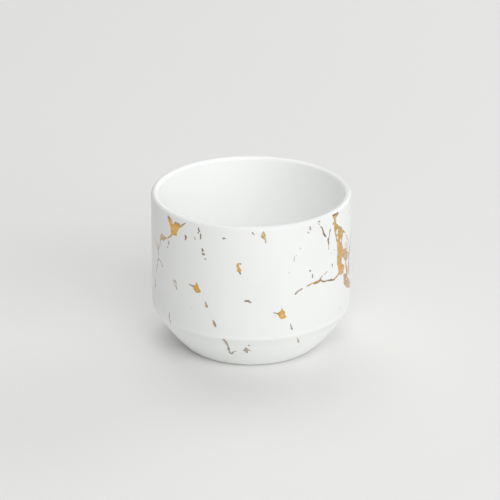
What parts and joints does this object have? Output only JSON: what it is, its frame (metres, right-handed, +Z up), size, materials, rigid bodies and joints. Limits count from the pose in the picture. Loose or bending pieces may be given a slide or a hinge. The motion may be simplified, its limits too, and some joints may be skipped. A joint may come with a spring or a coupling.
{
  "type": "handleless mug",
  "caption": "Handleless glazed ceramic mug with an upright wall, a soft shoulder, a tapered lower body and a recessed underside; holds a hot drink.",
  "frame": {"origin": "middle of the foot ring, on the surface that the mug stands on", "axes": "+Z up the mug's axis of revolution towards the lip; the printed side that the picture shows faces -Y"},
  "size_m": [0.084, 0.084, 0.0675],
  "materials": {
    "white_glaze": "white satin glaze with a printed gold marble pattern outside, glossier glaze inside, bare foot ring"
  },
  "bodies": {
    "root": {"mug_body": "white_glaze"}
  },
  "joints": []
}
